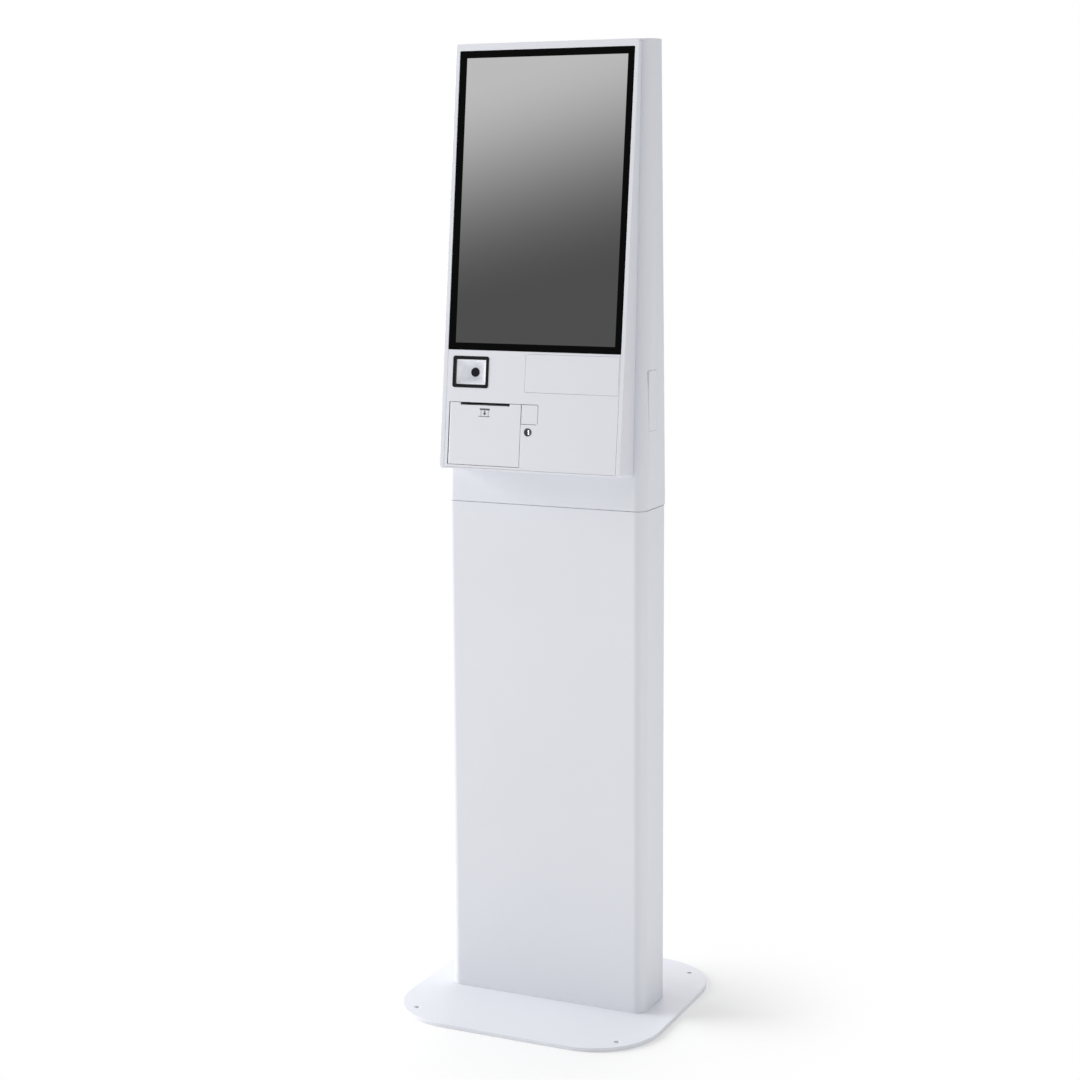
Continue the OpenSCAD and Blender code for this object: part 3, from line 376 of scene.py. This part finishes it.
def swept_tube(path, radius, sides=10):
    """Points and faces of a round wire along a path, closed at both ends."""
    points, faces = [], []
    side = None
    for i, at in enumerate(path):
        ahead = (path[min(i + 1, len(path) - 1)] - path[max(i - 1, 0)]).normalized()
        side = (side or ACROSS.cross(ahead))
        side = (side - ahead * side.dot(ahead)).normalized()
        over = ahead.cross(side)
        for k in range(sides):
            turn = 2 * math.pi * k / sides
            points.append(at + (side * math.cos(turn) + over * math.sin(turn)) * radius)
    for i in range(len(path) - 1):
        for k in range(sides):
            a, b = i * sides + k, i * sides + (k + 1) % sides
            faces.append((a, b, b + sides, a + sides))
    faces.append(tuple(reversed(range(sides))))
    faces.append(tuple(range(len(points) - sides, len(points))))
    return points, faces


def stacked(rings):
    """Points and faces of a solid through rings of equal length, closed at both ends."""
    size = len(rings[0])
    points = [p for ring in rings for p in ring]
    faces = []
    for i in range(len(rings) - 1):
        for k in range(size):
            a, b = i * size + k, i * size + (k + 1) % size
            faces.append((a, b, b + size, a + size))
    faces.append(tuple(reversed(range(size))))
    faces.append(tuple(range(len(points) - size, len(points))))
    return points, faces


SPRING_R, SPRING_WIRE, SPRING_LENGTH = 4.4, 0.6, 11.2
SPRING_TURNS, END_TURN_RISE, STEPS_PER_TURN = 6.5, 1.3, 28


def button_coil():
    """Compression spring round the button's stem, its end turns wound close."""
    rise = SPRING_LENGTH - 2 * SPRING_WIRE
    open_turns = SPRING_TURNS - 2
    open_rise = (rise - 2 * END_TURN_RISE) / open_turns
    middle = center_of("button_spring")
    path = []
    for i in range(int(SPRING_TURNS * STEPS_PER_TURN) + 1):
        turns = i / STEPS_PER_TURN
        along = END_TURN_RISE * min(turns, 1) + open_rise * min(max(turns - 1, 0), open_turns)
        along += END_TURN_RISE * max(turns - 1 - open_turns, 0)
        turn = 2 * math.pi * turns
        offset = ACROSS * math.cos(turn) * SPRING_R + UP_FACE * math.sin(turn) * SPRING_R
        path.append(middle + (offset + INWARD * (along - rise / 2)) * MM)
    points, faces = swept_tube(path, SPRING_WIRE * MM)
    coil = new_piece("button_coil_spring", points, faces, "bright_steel", "cabinet")
    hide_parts("button_spring")
    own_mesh(coil)


PIN_PLACES_MM = [(-7, -2), (7, -2), (0, 2.2)]
PIN_HALF_W, PIN_HALF_H, PIN_LENGTH, PIN_POWER = 1.0, 2.0, 11.0, 6
PIN_SUNK = 0.5
SOCKET_OFFSET_X, SOCKET_FLOOR = -13, -16


def rounded_ring(middle, right, up, half_w, half_h, power, steps=20):
    """A ring of points between an ellipse and a rectangle."""
    ring = []
    for k in range(steps):
        c, s = math.cos(2 * math.pi * k / steps), math.sin(2 * math.pi * k / steps)
        x = math.copysign(abs(c) ** (2 / power), c) * half_w
        y = math.copysign(abs(s) ** (2 / power), s) * half_h
        ring.append(middle + (right * x + up * y) * MM)
    return ring


def inlet_pins():
    """Three flat pins of the mains inlet, with eased tips."""
    low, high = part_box("power_inlet")
    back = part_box("column_shell")[1].y
    up, outward = Vector((0, 0, 1)), Vector((0, 1, 0))
    for number, (x, z) in enumerate(PIN_PLACES_MM):
        foot = Vector(((low.x + high.x) / 2, back, (low.z + high.z) / 2))
        foot += (ACROSS * (SOCKET_OFFSET_X + x) + up * z + outward * (SOCKET_FLOOR - PIN_SUNK)) * MM
        rings = []
        for along, size in ((0, 1), (PIN_LENGTH - 1.2, 1), (PIN_LENGTH - 0.4, 0.85), (PIN_LENGTH, 0.5)):
            middle = foot + outward * (along * MM)
            rings.append(rounded_ring(middle, -ACROSS, up, PIN_HALF_W * size, PIN_HALF_H * size, PIN_POWER))
        new_piece("inlet_pin_%d" % (number + 1), *stacked(rings), "bright_steel", "cabinet")


HALF_DISC_STEPS = 10


def disc_half(middle, right, up, normal, radius, gap, height, side):
    """Half of a disc beside a slot: half a screw head, or one side of a keyway."""
    start = math.asin(gap / radius)
    angles = [start + (math.pi - 2 * start) * k / HALF_DISC_STEPS for k in range(HALF_DISC_STEPS + 1)]
    rings = []
    for along, size in ((0, 1), (height * 0.7, 1), (height, 0.86)):
        rings.append([middle + (right * (math.cos(a) * radius * size)
                                + up * side * max(gap, math.sin(a) * radius * size) + normal * along) * MM
                      for a in angles])
    if side < 0:
        rings = [list(reversed(ring)) for ring in rings]
    return stacked(rings)


BAYS, BAY_STEP, FIRST_BAY_Y, BAY_DEPTH = 4, 6.5, -14, 5
SCREW_ROWS_MM = (20, 32)
SCREW_R, SCREW_SLOT_HALF, SCREW_HEAD = 1.7, 0.25, 1.6


def terminal_screws():
    """Slotted clamping screws in the four bays of the power supply's terminal block."""
    low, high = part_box("power_supply")
    up, outward, along_y = Vector((0, 0, 1)), ACROSS, Vector((0, 1, 0))
    points, faces = [], []
    bay_floor = high.x - BAY_DEPTH * MM
    for bay in range(BAYS):
        for height in SCREW_ROWS_MM:
            at = Vector((bay_floor, (FIRST_BAY_Y + bay * BAY_STEP) * MM, low.z + height * MM))
            for side in (1, -1):
                more, more_faces = disc_half(at, along_y, up, outward, SCREW_R, SCREW_SLOT_HALF,
                                             SCREW_HEAD, side)
                base = len(points)
                points += more
                faces += [tuple(base + k for k in face) for face in more_faces]
    new_piece("terminal_screws", points, faces, "bright_steel", "cabinet")


BARREL_PROUD, PLATE_SUNK = 0.6, 0.05
PLATE_R, PLATE_GAP, PLATE_T = 4.9, 1.1, 0.2


def keyway_plate():
    """Bright dust shutter on one side of the lock's keyway; it turns with the barrel."""
    front = Vector(joints["door_lock_turn"]["pos_m"]) - INWARD * (BARREL_PROUD - PLATE_SUNK) * MM
    points, faces = disc_half(front, -UP_FACE, ACROSS, -INWARD, PLATE_R, PLATE_GAP, PLATE_T, 1)
    new_piece("lock_keyway_plate", points, faces, "bright_steel", "door_lock")


button_coil()
inlet_pins()
keyway_plate()
terminal_screws()


# ---------- floor, light and camera ----------


FLOOR_RADIUS = 60
WHITE_FROM, WHITE_AT = 0.2, 0.6


def floor_surface():
    """Pale floor that turns into the white surround with distance from the machine."""
    material, tree, shader = new_surface("pale_floor", (0.93, 0.93, 0.93), 0.8, Specular_IOR_Level=0.1)
    at = place(tree)
    length = add_node(tree, "VectorMath", {0: at}, operation="LENGTH").outputs["Value"]
    far = add_node(tree, "MapRange", {"Value": length, "From Min": WHITE_FROM, "From Max": WHITE_AT},
                   interpolation_type="SMOOTHSTEP").outputs[0]
    white = add_node(tree, "Emission", {"Color": (1, 1, 1, 1), "Strength": 1.0})
    mix = add_node(tree, "MixShader", {0: far, 1: shader.outputs[0], 2: white.outputs[0]})
    output = next(n for n in tree.nodes if n.type == "OUTPUT_MATERIAL")
    tree.links.new(mix.outputs[0], output.inputs["Surface"])
    bump(tree, shader, noise(tree, at, 300), 0.00005, 0.2)
    return material


def make_floor():
    ring = bmesh.new()
    bmesh.ops.create_circle(ring, cap_ends=True, segments=96, radius=FLOOR_RADIUS)
    mesh = bpy.data.meshes.new("floor")
    ring.to_mesh(mesh)
    ring.free()
    floor = mesh_object("floor", mesh)
    mesh.materials.append(floor_surface())


def softbox(name, at, target, size, power):
    light = bpy.data.lights.new(name, "AREA")
    light.shape = "RECTANGLE"
    light.size, light.size_y = size
    light.energy = power
    lamp = bpy.data.objects.new(name, light)
    lamp.location = at
    lamp.rotation_euler = (Vector(target) - Vector(at)).to_track_quat("-Z", "Y").to_euler()
    bpy.context.scene.collection.objects.link(lamp)


def surround(horizon, zenith):
    """White all round, seen at full white by the camera; the machine is lit more from above."""
    world = bpy.data.worlds.new("surround")
    bpy.context.scene.world = world
    world.use_nodes = True
    tree = world.node_tree
    background = tree.nodes["Background"]
    background.inputs["Color"].default_value = (1, 1, 1, 1)
    direction = tree.nodes.new("ShaderNodeTexCoord").outputs["Generated"]
    split = add_node(tree, "SeparateXYZ", {0: direction})
    seen = tree.nodes.new("ShaderNodeLightPath").outputs["Is Camera Ray"]
    sky = add_node(tree, "MapRange", {"Value": split.outputs["Z"], "From Min": 0, "From Max": 1,
                                      "To Min": horizon, "To Max": zenith}).outputs[0]
    either = add_node(tree, "Math", {0: sky, 1: seen}, operation="MAXIMUM").outputs[0]
    tree.links.new(either, background.inputs["Strength"])


CAMERA_AT = Vector((1.54415, -3.3967, 1.4858))
CAMERA_YAW, CAMERA_PITCH, CAMERA_ROLL = (math.radians(a) for a in (24.81, -9.79, -0.40))
CAMERA_LENS = 71.53


def make_camera():
    ahead = Vector((-math.sin(CAMERA_YAW), math.cos(CAMERA_YAW), 0))
    right = Vector((math.cos(CAMERA_YAW), math.sin(CAMERA_YAW), 0))
    up = Vector((0, 0, 1))
    look = ahead * math.cos(CAMERA_PITCH) + up * math.sin(CAMERA_PITCH)
    over = up * math.cos(CAMERA_PITCH) - ahead * math.sin(CAMERA_PITCH)
    x_axis = right * math.cos(CAMERA_ROLL) + over * math.sin(CAMERA_ROLL)
    y_axis = over * math.cos(CAMERA_ROLL) - right * math.sin(CAMERA_ROLL)
    data = bpy.data.cameras.new("camera")
    data.lens = CAMERA_LENS
    data.sensor_width = 36
    camera = bpy.data.objects.new("camera", data)
    turned = Matrix((x_axis, y_axis, -look)).transposed().to_4x4()
    camera.matrix_world = Matrix.Translation(CAMERA_AT) @ turned
    bpy.context.scene.collection.objects.link(camera)
    bpy.context.scene.camera = camera


make_floor()
make_camera()
surround(0.18, 0.76)
softbox("left_window", (-3.6, -0.8, 1.6), (0, 0, 0.9), (2.2, 2.2), 156)
softbox("overhead", (0.2, 0.3, 3.9), (0, 0, 0.6), (2.6, 2.6), 22)
softbox("back_fill", (-0.8, 3.6, 2.4), (0, 0, 0.9), (2.6, 2.2), 30)
softbox("low_right", (1.7, -0.5, 0.14), (0, 0, 0.25), (1.2, 0.2), 3)
bpy.context.scene.view_settings.view_transform = "Standard"
